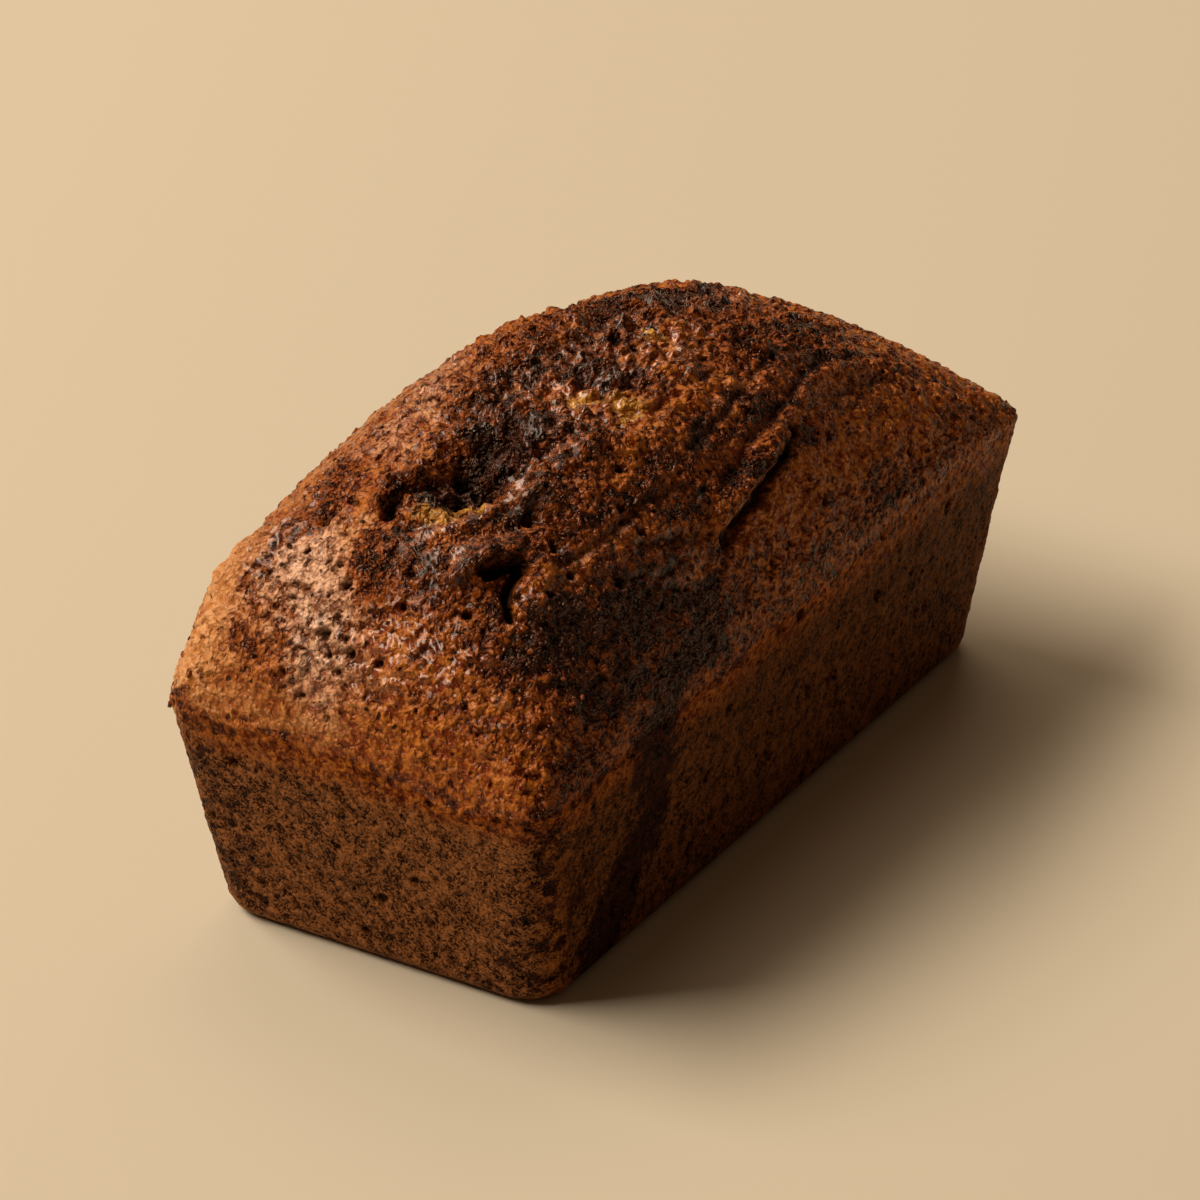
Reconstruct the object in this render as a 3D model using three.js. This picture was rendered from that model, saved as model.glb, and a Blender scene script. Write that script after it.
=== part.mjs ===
// A small marble cake baked in a narrow loaf tin, whole and uncut.
// Millimetres, +Z up. The origin is on the underside, at the middle of the cake.
// +X runs along the loaf towards its far end, -Y is the long side with the chocolate swirl.

import * as THREE from 'three';
import { ImprovedNoise } from 'three/addons/math/ImprovedNoise.js';
import { ParametricGeometry } from 'three/addons/geometries/ParametricGeometry.js';
import { mergeGeometries, mergeVertices } from 'three/addons/utils/BufferGeometryUtils.js';

// ---- The tin's shape, which the sides and the base keep ----

const RIM_LENGTH = 159;
const RIM_WIDTH = 72;
const BASE_LENGTH = 144;
const BASE_WIDTH = 63;
const RIM_HEIGHT = 41.5;
const RIM_RISE = 2.8; // how much higher the rim is at the far end than at the near end
const RIM_CORNER = 5.5; // radius of the upright edges at the rim
const BASE_CORNER = 8; // and at the base
const BASE_EDGE = 3; // radius where the sides turn under

// ---- The crown, the part that rose above the tin ----

const CROWN_RISE = 39;
const CREST_SHIFT = -0.1; // the highest point, as a fraction of the half length
const FAR_SIDE_BULGE = 2; // how far the +Y side leans out over its rim

// The crown falls from its crest as (1 - d^fullness)^edge on each side.
const NEAR_END = { fullness: 2.64, edge: 0.49 };
const FAR_END = { fullness: 1.5, edge: 0.59 };
const NEAR_SIDE = { fullness: 2.28, edge: 0.62 };
const FAR_SIDE = { fullness: 2.83, edge: 0.38 };

// ---- Splits, folds and lumps in the crust: places are plan positions ----

// The main split: a shallow, uneven basin where the crust tore open along the crest.
const CRATER = { x: -45, y: 0.5, halfLength: 13, halfWidth: 8.5, depth: 3.2 };

// Torn edges and cracks: a path, how wide it is and how far it stands up (+) or sinks (-).
const CRACKS = [
	{ path: [[-56, 7], [-51, 9.5], [-46, 7.5], [-42, 9]], width: 4, rise: 2.4 },
	{ path: [[-57, 4], [-51, 5.5], [-47, 3]], width: 3.4, rise: -2.6 },
	{ path: [[-54, -14], [-58, -17], [-61, -18.5], [-65, -20.3]], width: 4.2, rise: -4.6 },
	{ path: [[-60, -11], [-54, -11.5], [-49, -15]], width: 3.6, rise: 1.9 },
	{ path: [[-53, -19], [-57, -21.5]], width: 5, rise: 1.4 },
	{ path: [[-59, -3], [-55, -8], [-49, -9.5]], width: 3.4, rise: 1.6 },
	{ path: [[24.5, -22.7], [18.5, -25.2], [12.9, -26.5], [0.4, -27.4]], width: 3.6, rise: -1.6 },
	{ path: [[27, -25.5], [19, -28.2], [12, -29.4], [2, -30.2]], width: 4, rise: 1.3 },
	{ path: [[-3.6, -29.9], [-12.3, -30.8], [-15.5, -31.5]], width: 3, rise: -1.4 },
	{ path: [[20, -14], [25, -18], [31, -19]], width: 3.4, rise: -1.3 },
	{ path: [[-30, 8], [-12, 4], [4, 6], [22, 9]], width: 5.5, rise: -1.9 },
];

// Hollows and bumps: centre, reach along and across, and height.
const SWELLS = [
	{ x: -40.5, y: 1.5, alongX: 3.4, alongY: 3.2, rise: -2.8 },
	{ x: -37, y: -6, alongX: 3, alongY: 2.6, rise: -2.2 },
	{ x: -46.5, y: -6, alongX: 3.4, alongY: 2.4, rise: -2.4 },
	{ x: -42, y: -12, alongX: 6, alongY: 3.5, rise: 1.4 },
	{ x: -31, y: -2, alongX: 5, alongY: 5, rise: 1.5 },
	{ x: -16, y: -9, alongX: 8, alongY: 6, rise: -1.7 },
	{ x: -27, y: -12, alongX: 6, alongY: 5, rise: 1.3 },
	{ x: -5, y: 13, alongX: 8, alongY: 7, rise: 1.4 },
	{ x: 14, y: -3, alongX: 9, alongY: 7, rise: 1.2 },
	{ x: 28, y: 25, alongX: 12, alongY: 8, rise: -1.3 },
	{ x: 44, y: 8, alongX: 9, alongY: 8, rise: 1.1 },
	{ x: -64, y: 30, alongX: 5, alongY: 5, rise: 1.7 },
	{ x: -72, y: -26, alongX: 4, alongY: 4, rise: -0.8 },
];

const CRAG_HEIGHT = 1.6; // lumps of the craggy crust round the crest
const CRAG_SIZE = 7;
const FINE_CRAG_SIZE = 4;
const CRAG_REGION = { x: 2, y: 3, halfLength: 62, halfWidth: 22 };
const WAVE_HEIGHT = 0.5; // slow unevenness of the whole cake
const WAVE_SIZE = 17;
const WAVE_FADE = 10; // the unevenness fades out over this height above the base

// ---- Mesh fineness ----

const COLUMNS = 74; // along the crown
const ROWS = 40; // across the crown
const WALL_ROWS = 5;
const EDGE_ROWS = 3;
const EVENNESS = 0.35; // 1 spaces the grid evenly, 0 crowds it against the rim

const noise = new ImprovedNoise();

/** 0 below the lower bound, 1 above the upper one, and a smooth step between. */
function smoothStep(value, lower, upper) {
	return THREE.MathUtils.smoothstep(value, lower, upper);
}

/** A place on a rounded rectangle: s and t run from -1 to 1 along and across it. */
function planPoint(s, t, halfLength, halfWidth, radius) {
	let x = halfLength * Math.abs(s);
	let y = halfWidth * Math.abs(t);
	const cornerX = Math.max(0, (x - halfLength + radius) / radius);
	const cornerY = Math.max(0, (y - halfWidth + radius) / radius);
	if (cornerX > 0) x = halfLength - radius + radius * cornerX * Math.sqrt(1 - cornerY ** 2 / 2);
	if (cornerY > 0) y = halfWidth - radius + radius * cornerY * Math.sqrt(1 - cornerX ** 2 / 2);
	return new THREE.Vector2(Math.sign(s) * x, Math.sign(t) * y);
}

/** One side's fall from the crest: 1 at the crest, 0 at the rim. */
function fall(distance, side) {
	return Math.pow(Math.max(0, 1 - Math.pow(distance, side.fullness)), side.edge);
}

/** The crown's rise above the rim, from 0 to 1. */
function crownShare(s, t) {
	const nearEnd = s < CREST_SHIFT;
	const reach = nearEnd ? (CREST_SHIFT - s) / (1 + CREST_SHIFT) : (s - CREST_SHIFT) / (1 - CREST_SHIFT);
	return fall(reach, nearEnd ? NEAR_END : FAR_END) * fall(Math.abs(t), t < 0 ? NEAR_SIDE : FAR_SIDE);
}

/** The rim's height, which climbs evenly from the near end to the far end. */
function rimHeight(s) {
	return RIM_HEIGHT + (RIM_RISE * s) / 2;
}

/** How far a plan position lies from a path made of straight lengths. */
function distanceToPath(x, y, path) {
	let nearest = Infinity;
	for (let i = 0; i + 1 < path.length; i++) {
		const [startX, startY] = path[i];
		const [endX, endY] = path[i + 1];
		const alongX = endX - startX;
		const alongY = endY - startY;
		const share = ((x - startX) * alongX + (y - startY) * alongY) / (alongX ** 2 + alongY ** 2);
		const held = THREE.MathUtils.clamp(share, 0, 1);
		nearest = Math.min(nearest, Math.hypot(x - startX - held * alongX, y - startY - held * alongY));
	}
	return nearest;
}

/** The main split's basin, with a ragged edge. */
function craterDepth(x, y) {
	const ragged = 0.3 * noise.noise(x / 8, y / 8, 3);
	const reach = Math.hypot((x - CRATER.x) / CRATER.halfLength, (y - CRATER.y) / CRATER.halfWidth) + ragged;
	return -CRATER.depth * (1 - smoothStep(reach, 0.5, 1.1));
}

/** Every split, fold, hollow and lump of the crust at one plan position. */
function crustRelief(x, y) {
	let height = craterDepth(x, y);
	for (const { path, width, rise } of CRACKS) {
		const wandering = 1.1 * noise.noise(x / 6, y / 6, 21);
		height += rise * Math.exp(-(((distanceToPath(x, y, path) + wandering) / (width / 2)) ** 2));
	}
	for (const { x: centreX, y: centreY, alongX, alongY, rise } of SWELLS) {
		height += rise * Math.exp(-(((x - centreX) / alongX) ** 2) - ((y - centreY) / alongY) ** 2);
	}
	const { x: cragX, y: cragY, halfLength, halfWidth } = CRAG_REGION;
	const cragReach = Math.hypot((x - cragX) / halfLength, (y - cragY) / halfWidth);
	const coarse = noise.noise(x / CRAG_SIZE, y / CRAG_SIZE, 5.5);
	const fine = noise.noise(x / FINE_CRAG_SIZE, y / FINE_CRAG_SIZE, 7.5);
	return height + CRAG_HEIGHT * (coarse + 0.6 * fine) * (1.3 - smoothStep(cragReach, 0.5, 1.1));
}

/** Moves a surface point straight out from the line that runs inside the loaf. */
function pushOut(point, distance) {
	const spineEnd = (RIM_LENGTH - RIM_WIDTH) / 2;
	const spineX = THREE.MathUtils.clamp(point.x, -spineEnd, spineEnd);
	const outward = new THREE.Vector3(point.x - spineX, point.y, Math.max(0, point.z - RIM_HEIGHT));
	return point.addScaledVector(outward.normalize(), distance);
}

/** The slow unevenness that every baked surface has, none where it stands. */
function unevenness(point) {
	const wave = noise.noise(point.x / WAVE_SIZE, point.y / WAVE_SIZE, point.z / WAVE_SIZE + 40);
	return WAVE_HEIGHT * wave * smoothStep(point.z, BASE_EDGE, BASE_EDGE + WAVE_FADE);
}

/** Spreads an even 0 to 1 over -1 to 1, closer together towards both ends. */
function spread(share) {
	return THREE.MathUtils.lerp(Math.sin((share - 0.5) * Math.PI), 2 * share - 1, EVENNESS);
}

/** The crown's surface: s and t run along and across it. */
function crownPoint(s, t, target) {
	const plan = planPoint(s, t, RIM_LENGTH / 2, RIM_WIDTH / 2, RIM_CORNER);
	const share = crownShare(s, t);
	const bulge = FAR_SIDE_BULGE * Math.max(0, t) ** 3 * Math.sin(Math.PI * share) * (1 - s ** 4);
	target.set(plan.x, plan.y + bulge, rimHeight(s) + CROWN_RISE * share);
	const wave = unevenness(target);
	const inset = smoothStep(1 - Math.abs(s), 0, 0.06) * smoothStep(1 - Math.abs(t), 0, 0.1);
	return pushOut(target, wave + crustRelief(plan.x, plan.y) * inset);
}

/** Follows the four edges of the crown once round, as s and t. */
function rimPlace(share) {
	const step = share * 2 * (COLUMNS + ROWS);
	if (step <= COLUMNS) return [spread(step / COLUMNS), -1];
	if (step <= COLUMNS + ROWS) return [1, spread((step - COLUMNS) / ROWS)];
	if (step <= 2 * COLUMNS + ROWS) return [spread((2 * COLUMNS + ROWS - step) / COLUMNS), 1];
	return [-1, spread((2 * COLUMNS + 2 * ROWS - step) / ROWS)];
}

/** The sides: share goes once round the cake, and climb goes from the base up to the rim. */
function wallPoint(share, climb, target) {
	const [s, t] = rimPlace(share);
	const row = climb * (EDGE_ROWS + WALL_ROWS);
	const turn = (Math.min(1, row / EDGE_ROWS) * Math.PI) / 2;
	const wallShare = Math.max(0, row - EDGE_ROWS) / WALL_ROWS;
	const height = BASE_EDGE * (1 - Math.cos(turn)) + (rimHeight(s) - BASE_EDGE) * wallShare;
	const inset = BASE_EDGE * (1 - Math.sin(turn));
	const tinShare = height / rimHeight(s);
	const halfLength = THREE.MathUtils.lerp(BASE_LENGTH, RIM_LENGTH, tinShare) / 2 - inset;
	const halfWidth = THREE.MathUtils.lerp(BASE_WIDTH, RIM_WIDTH, tinShare) / 2 - inset;
	const corner = THREE.MathUtils.lerp(BASE_CORNER, RIM_CORNER, tinShare) - inset;
	const plan = planPoint(s, t, halfLength, halfWidth, corner);
	target.set(plan.x, plan.y, height);
	return pushOut(target, unevenness(target));
}

/** The flat underside, filling the ring where the sides have turned under. */
function baseGeometry() {
	const ring = [];
	const point = new THREE.Vector3();
	for (let i = 0; i < 2 * (COLUMNS + ROWS); i++) {
		wallPoint(i / (2 * (COLUMNS + ROWS)), 0, point);
		ring.push(new THREE.Vector2(point.x, point.y));
	}
	const geometry = new THREE.ShapeGeometry(new THREE.Shape(ring));
	geometry.index.array.reverse(); // turns it to face down
	return geometry;
}

/** The whole cake as one closed surface: crown, sides and underside share their edges. */
function cakeGeometry() {
	const crown = new ParametricGeometry(
		(u, v, target) => crownPoint(spread(u), spread(v), target),
		COLUMNS,
		ROWS,
	);
	const walls = new ParametricGeometry(wallPoint, 2 * (COLUMNS + ROWS), EDGE_ROWS + WALL_ROWS);
	const sheets = [crown, walls, baseGeometry()];
	for (const sheet of sheets) {
		sheet.deleteAttribute('normal');
		sheet.deleteAttribute('uv');
	}
	const closed = mergeVertices(mergeGeometries(sheets), 0.001);
	closed.computeVertexNormals();
	return closed;
}

/** The cake: dark golden crust, with the marbling only in its colour. */
function marbleCake() {
	const crust = new THREE.MeshStandardMaterial({ color: 0x6e3d1c, roughness: 0.72, metalness: 0 });
	const mesh = new THREE.Mesh(cakeGeometry(), crust);
	mesh.name = 'marble_cake';
	return mesh;
}

const cake = new THREE.Group();
cake.add(marbleCake());

export default cake;
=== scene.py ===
"""A small whole marble cake, baked in a narrow loaf tin, on a plain pale floor.

Shapes are worked out in millimetres and put into meshes in metres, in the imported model's frame:
+X along the loaf, -Y the long side with the chocolate swirl, +Z up, origin under the middle.
"""

import itertools
import math

import bmesh
import bpy
import numpy as np
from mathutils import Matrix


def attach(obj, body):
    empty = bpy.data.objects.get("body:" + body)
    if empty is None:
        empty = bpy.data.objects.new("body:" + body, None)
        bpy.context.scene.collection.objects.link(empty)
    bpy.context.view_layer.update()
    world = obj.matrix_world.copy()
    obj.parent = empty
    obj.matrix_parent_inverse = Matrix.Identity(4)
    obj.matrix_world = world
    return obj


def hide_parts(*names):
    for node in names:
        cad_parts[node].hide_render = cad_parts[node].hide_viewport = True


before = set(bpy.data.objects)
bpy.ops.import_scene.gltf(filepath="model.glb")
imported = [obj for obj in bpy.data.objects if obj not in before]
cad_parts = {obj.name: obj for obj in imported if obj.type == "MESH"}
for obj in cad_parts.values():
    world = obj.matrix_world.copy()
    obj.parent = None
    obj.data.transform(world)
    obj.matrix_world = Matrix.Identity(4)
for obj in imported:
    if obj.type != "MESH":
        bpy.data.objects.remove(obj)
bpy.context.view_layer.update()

# ----------------------------------------
# The crown: the crust that rose above the tin, dried, browned and tore open along its crest.
# Chocolate batter swirled through golden batter shows as marbling. The tear left a basin with
# a raised flap, a second crack, pores where bubbles burst, and lumps that the swirl pushed up.

MM = 0.001

RIM_LENGTH, RIM_WIDTH = 159.0, 72.0
BASE_LENGTH, BASE_WIDTH = 144.0, 63.0
RIM_HEIGHT, RIM_RISE = 41.5, 2.8
RIM_CORNER, BASE_CORNER, BASE_EDGE = 5.5, 8.0, 3.0
CROWN_RISE = 39.0
CREST_SHIFT = -0.1
FAR_SIDE_BULGE = 2.0
CROWN_COLUMNS, CROWN_ROWS = 600, 360

# How the crown falls from its crest on each side: (1 - d ** fullness) ** edge.
NEAR_END, FAR_END = (2.64, 0.49), (1.5, 0.59)
NEAR_SIDE, FAR_SIDE = (2.28, 0.62), (2.83, 0.38)

# The basin of the main tear: centre, reach along and across, depth, and where its wall starts
# and ends as shares of the reach.
BASIN = {"centre": (-42.0, -0.5), "reach": (12.0, 8.0), "depth": 4.2, "wall": (0.45, 1.1)}

# Tears, each a path in plan: width, rise (+) or depth (-), and how far the edge leans over in plan.
# Cracks tear raggedly. Folds are soft creases and ridges that the rising batter pushed together.
CRACKS = [
    ([(-55, 9.5), (-53, 10.5), (-50, 10.3), (-47.5, 8.3), (-45.8, 5.6), (-45.8, 2.7)],
     2.6, 1.5, (-0.4, -0.8)),
    ([(-56.5, 6.8), (-54.5, 7.7), (-52.2, 7.6), (-49.8, 6.3), (-46.4, 4.5)], 1.7, -2.8, (0, 0)),
    ([(-59.5, -13), (-57.7, -13.9), (-55.9, -15.3), (-54.9, -17.1)], 1.9, -3.6, (0, 0)),
    ([(-55.7, -17.5), (-58.1, -17.5), (-60.3, -18), (-62.5, -19.6)], 1.5, -3.4, (0, 0)),
    ([(-62.5, -8.8), (-59.7, -10.8), (-56.4, -12.2), (-52.5, -15)], 2.6, 1.5, (-0.6, -0.8)),
    ([(-53, -19), (-57, -21.5)], 5.0, 1.5, (0, 0)),
    ([(-58.2, -2.6), (-55.8, -5.8), (-53, -8.4), (-50.5, -10.4)], 2.4, 1.4, (0.4, 1.0)),
]
FOLDS = [
    ([(10.6, -25.9), (3.2, -27.4), (-3.6, -28.3), (-9.4, -29), (-15.3, -29.3)], 2.4, 1.3, (0, -0.6)),
    ([(14.7, -26.5), (10.6, -27.9), (3.8, -29), (-3.6, -29.9), (-8.4, -30.2), (-15.9, -30.9)],
     1.2, -1.7, (0, 0)),
    ([(50, -22.9), (42.8, -23), (36.2, -21.8), (24.5, -22.7), (12.9, -25.8)], 2.2, 1.0, (0, 0.3)),
    ([(27, -20.8), (20, -23.2), (13, -24.4), (2, -25.2), (-8, -26.8)], 1.2, -0.4, (0, 0)),
    ([(44, -19.8), (34.4, -18.8), (26.9, -18.4), (18.9, -19.6), (8, -22.5)], 2.0, 0.8, (0, 0.3)),
    ([(40, -17.6), (26.9, -16.4), (14, -18.4)], 1.3, -0.4, (0, 0)),
    ([(48, -25.6), (38, -25.4), (28, -25.6)], 1.3, -0.4, (0, 0)),
    ([(-50, -21.5), (-40, -23.5), (-28, -23.5), (-18, -25)], 1.2, -0.6, (0, 0)),
    ([(-34.8, -26.6), (-24.3, -28.9), (-18.3, -29.8)], 1.1, -0.5, (0, 0)),
    ([(-16, -22.5), (-4, -21.8), (12, -19)], 1.2, -0.4, (0, 0)),
    ([(-30, 8), (-12, 4), (4, 6), (22, 9)], 5.5, -1.2, (0, 0)),
]

# Noise that pushes torn edges about: reach, size and seed, and how much cracks and folds take.
TEAR_STRAY = (1.2, 4.0, 50)
CRACK_STRAY, FOLD_STRAY = 0.6, 0.35

# Where the rim sags (-) or stands up: place in plan, reach and rise. The rim also waves, by a
# rise, size and seed. Both fade out over a height above and below the rim.
RIM_SAGS = [(-79.5, -20, 11, -2.4), (-79.5, 12, 12, 0.9), (10, -36, 14, -0.8), (44, -36, 10, 0.7)]
RIM_WAVES = (0.7, 8, 12)
RIM_SWAY_FADE = 5

# The unevenness of all the crust: rise, size and seed of its waves and of its ripples, and rise,
# size, seed and level of its grain. Waves fade out towards the lower edge, the rest at the floor.
CRUST_WAVES, CRUST_RIPPLES = (0.5, 17, 1), (0.28, 6, 2)
CRUST_GRAIN = [(0.34, 2.2, 3, 0.3), (0.3, 1.2, 4, 0.3)]
WAVE_FADE, FOOT_FADE = (BASE_EDGE, BASE_EDGE + 10), (0.4, 3.0)

# Lumps of the crown: rise, size, seed and level. The crust is craggiest in an oval about the
# crest: its middle, its reach, how craggy it is and how much is lost outside.
LUMPS = [(1.5, 7, 6, 0.35), (2.0, 3.8, 7, 0.3), (1.0, 1.9, 8, 0.3)]
CRAGGY = {"middle": (2, 3), "reach": (62, 22), "most": 1.25, "loss": 0.8, "edge": (0.45, 1.15)}

# Bubbles that burst all over: cell size, share, added share where the crust is ashy, seed, depth
# and darkness, the painted shade in the pit. The pits are a little uneven: reach, size and seed of
# the noise that does it.
BIG_BUBBLES = {"size": 2.6, "share": 0.03, "in_ash": 0.28, "seed": 61, "depth": 1.5, "dark": 0.95}
SMALL_BUBBLES = {"size": 1.4, "share": 0.08, "in_ash": 0.34, "seed": 62, "depth": 0.7, "dark": 0.6}
BUBBLE_STRAY = (0.4, 1.3, 70)

# Relief fades out at the rim, over these shares of the half length and half width, so that the
# crown meets the sides. Relief this deep gets painted shade, as dark as a hollow.
RIM_FADE_ALONG, RIM_FADE_ACROSS = 0.015, 0.03
DEEP_RELIEF_SHADE = (3.0, 7.0)

# Single burst bubbles: place in plan and radius.
BURST_BUBBLES = [
    (-73.5, 7.9, 1.0), (-74.6, 2.3, 0.8), (-76.2, 3.8, 0.7), (-75.2, 6.2, 0.7), (-77.2, 12.8, 0.7),
    (-67.7, 7.4, 0.9), (-78.2, 9.4, 0.6), (-49.8, -23.2, 0.8), (-48.6, -19.4, 0.8), (-33, -22.1, 0.9),
    (-21, -18.9, 0.8), (-11, -25.4, 0.7), (9.6, -28.4, 0.8), (22.1, -28.8, 0.8), (13.3, -33, 0.9),
    (-59, 16.5, 1.1), (-55, 14.5, 0.8), (-64, 17, 0.7), (-66, -14, 0.8), (-70.5, 16, 0.7),
    (-42.2, -27.7, 0.8), (-55.5, -22.5, 0.7), (42, -33.7, 0.8), (-5.2, -34.2, 0.6), (1.2, -34, 0.6),
]

# Hollows and bumps: centre, reach along and across, rise.
SWELLS = [
    (-40.8, 2.2, 2.8, 2.4, -4.0), (-38, -6.1, 1.9, 1.8, -3.6), (-44.8, -4.7, 2.3, 1.8, -3.6),
    (-47.6, -0.5, 1.8, 1.4, -2.8), (-47.6, -7.6, 1.6, 1.2, -2.6), (-47, -14.4, 1.6, 1.2, -2.8),
    (-34.4, -8.8, 1.3, 1.3, -2.2), (-58.6, -16, 2.2, 1.8, -2.2), (-33.5, 0.5, 2.0, 1.8, -2.8),
    (-30, 4, 2.0, 1.8, -2.4), (-41.5, -1.8, 1.4, 1.2, 1.8), (-36.5, -2.0, 1.2, 1.4, 1.6),
    (-48.5, -3.6, 1.3, 1.0, 1.2), (-12, -3, 2.0, 2.8, -2.0), (30, 5, 5, 2.4, -1.8),
    (4.2, 4.5, 2.4, 2.0, -1.6), (-7.2, 5.2, 2.4, 2.0, -1.6), (-42, -12, 6, 3.5, 1.6),
    (-31, -4, 4, 4, 1.7), (-16, -9, 8, 6, -1.5), (-27, -12, 6, 5, 1.4), (-5, 13, 8, 7, 1.3),
    (14, -3, 9, 7, 1.2), (28, 25, 12, 8, -1.3), (44, 8, 9, 8, 1.1), (-64, 30, 5, 5, 1.7),
    (-72, -26, 4, 4, -0.8), (-76, -31.8, 2, 2, -0.8),
]

# Strokes of the marbling: path, width and strength. A third number in a path is a height.
CHOCOLATE_STROKES = [
    ([(-67, -23.5), (-58, -26.5), (-48, -29.0), (-36, -31), (-25, -32.5)], 5.6, 1.2),
    ([(-60, -32), (-42, -35), (-24, -35)], 4.5, 1.1),
    ([(-44, -36, 44), (-43.5, -34, 24), (-51, -32.5, 11), (-57, -31.5, 3)], 6.5, 1.2),
    ([(-77, -34, 38), (-73.5, -32, 20), (-71, -30.5, 5)], 6.0, 0.8),
    ([(-79, 30, 36), (-76, 28, 22), (-73, 26, 6)], 8.0, 0.6),
    ([(-77, 12, 28), (-75, 4, 14), (-74, -6, 8)], 5.0, 0.45),
    ([(-48, 1), (-41, -1), (-34, -3), (-31, 2)], 6.0, 1.2),
    ([(-54, 8.3), (-50, 8.3), (-45, 5.5), (-38, 6)], 2.4, 0.6),
    ([(-66, -36, 40), (-66, -33, 20), (-65, -31, 4)], 6.0, 0.55),
    ([(-29, 7), (-24, 2), (-26, -7), (-31, -13)], 5.0, 0.6),
    ([(-28, 8), (-18, 8), (-8, 6), (4, 4)], 3.4, 0.7),
    ([(-12, 3), (-9, -4), (-8, -11)], 3.8, 0.85),
    ([(-2, 0), (8, 1), (18, 0)], 3.4, 0.55),
    ([(13, 9), (22, 13.5), (32, 12), (44, 5)], 5.4, 1.0),
    ([(24, 4), (34, 1), (44, -2)], 4.6, 0.9),
    ([(44, 3), (54, -1), (62, -9)], 3.2, 0.6),
    ([(-60, -9), (-50, -12), (-38, -14.5), (-26, -14)], 3.8, 0.7),
    ([(-50, -20.5), (-32, -21.5), (-10, -22.5), (6, -21)], 2.4, 0.85),
    ([(16, -17), (28, -14), (40, -12), (52, -13)], 5.2, 0.7),
    ([(0, -24), (14, -23.5), (28, -20.5), (44, -20.5)], 2.4, 0.75),
    ([(-22, -26), (-8, -27.5), (6, -28.5), (20, -27.5)], 2.6, 0.8),
    ([(-52, -13.5), (-62, -18)], 3.2, 0.95),
    ([(-72, -13), (-66, -20)], 4.0, 0.45),
    ([(-64, 5), (-61, -2), (-63, -10)], 4.0, 0.65),
    ([(-66, 24), (-56, 19), (-47, 20)], 3.2, 0.5),
    ([(36, -35), (32, -34)], 3.0, 0.7),
    ([(-20, 14), (0, 13), (14, 15)], 3.0, 0.45),
    ([(52, -22), (60, -24), (66, -28)], 3.0, 0.5),
    ([(-48, 34.5), (-28, 35.2), (-4, 34.8), (22, 33), (40, 29)], 4.5, 0.9),
    ([(30, 35), (48, 33), (62, 28)], 3.5, 0.8),
    ([(70, -12), (73, 4), (69, 18)], 4.0, 0.6),
    ([(20, 36, 40), (26, 34.5, 24), (22, 33, 6)], 6.0, 0.9),
]
GOLDEN_STROKES = [
    ([(-77, 33), (-70, 31), (-61, 31)], 7.0, 1.0),
    ([(-78.5, 30), (-78.5, -6)], 5.0, 0.9),
    ([(-78.5, -6), (-78.5, -30)], 4.0, 0.55),
    ([(-60, 27), (-40, 26), (-20, 24), (6, 21)], 6.0, 0.6),
    ([(-59, -3), (-57, -9), (-55, -12)], 3.0, 0.4),
    ([(-58, 14), (-44, 14), (-28, 14.5)], 3.4, 0.55),
    ([(-74, -4), (-72, -22)], 6.0, 0.6),
    ([(-67, 14), (-60, 12)], 3.6, 0.7),
    ([(-62, -19.8), (-50, -21.8), (-38, -23.8)], 2.2, 0.8),
    ([(-34, -17), (-16, -18.3), (4, -17), (16, -17)], 2.6, 0.45),
    ([(-6, 10), (6, 10), (14, 6)], 2.8, 0.3),
    ([(-26, -30.5), (-8, -31.5), (6, -32)], 3.0, 0.75),
    ([(8, -31.5), (24, -31), (40, -30.5), (56, -29)], 4.0, 0.6),
    ([(44, -2), (54, -9), (62, -16), (72, -30)], 6.0, 0.7),
    ([(-19, -3), (-17, -8), (-13, -13)], 3.6, 0.9),
    ([(4, -3), (10, -5)], 2.4, 0.6),
    ([(-28, -11.5), (-22, -12.5)], 1.6, 0.5),
    ([(-8, -16), (0, -14), (3, -16)], 1.8, 0.5),
    ([(30, 20), (44, 12), (56, 4)], 3.4, 0.55),
    ([(-44, 35.9), (-10, 35.9), (12, 35.9)], 3.0, 0.6),
    ([(0, 31), (20, 28), (38, 23)], 3.0, 0.6),
    ([(44, 35.5), (66, 33)], 3.0, 0.6),
]
LIGHT_STROKES = [
    ([(-78, 34), (-73, 31), (-63, 32)], 9.0, 0.9),
    ([(-79, 24), (-79, 6)], 4.0, 0.4),
    ([(-67, 14), (-60, 12)], 3.5, 0.6),
    ([(-55, 29), (-10, 27)], 5.0, 0.3),
]
ASHY_STROKES = [
    ([(-75, 6), (-70, 12), (-66, 18)], 6.5, 1.0),
    ([(-42, 17), (-30, 18), (-16, 20)], 4.0, 0.5),
]
OPEN_CRUMB_STROKES = [
    ([(-54.2, 1.2), (-54.6, -2.6)], 2.1, 1.0),
    ([(-51, -2.8), (-50.6, -6.6)], 1.7, 0.9),
    ([(-18.7, -4.5), (-15.8, -7.6), (-13.7, -10.1), (-12.8, -13.1)], 2.0, 1.0),
    ([(-17, -13.5), (-14, -13.6)], 1.6, 0.9),
    ([(6.5, -3.2), (8.5, -4.8)], 1.2, 0.8),
]
GLOSSY_STROKES = [
    ([(-75, 4), (-73, -8), (-71, -24)], 9.0, 0.8),
    ([(-60, -6), (-45, -8), (-25, -8), (10, -4)], 9.0, 1.0),
    ([(-50, 4), (-25, 6), (10, 4)], 8.0, 1.0),
    ([(-66, -22), (-45, -24), (-30, -28)], 8.0, 0.9),
    ([(10, 4), (30, 8), (44, 2)], 8.0, 0.8),
    ([(-64, 22), (-40, 24), (-10, 22)], 7.0, 0.6),
    ([(0, -22), (30, -18), (50, -20)], 7.0, 0.5),
]

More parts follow.
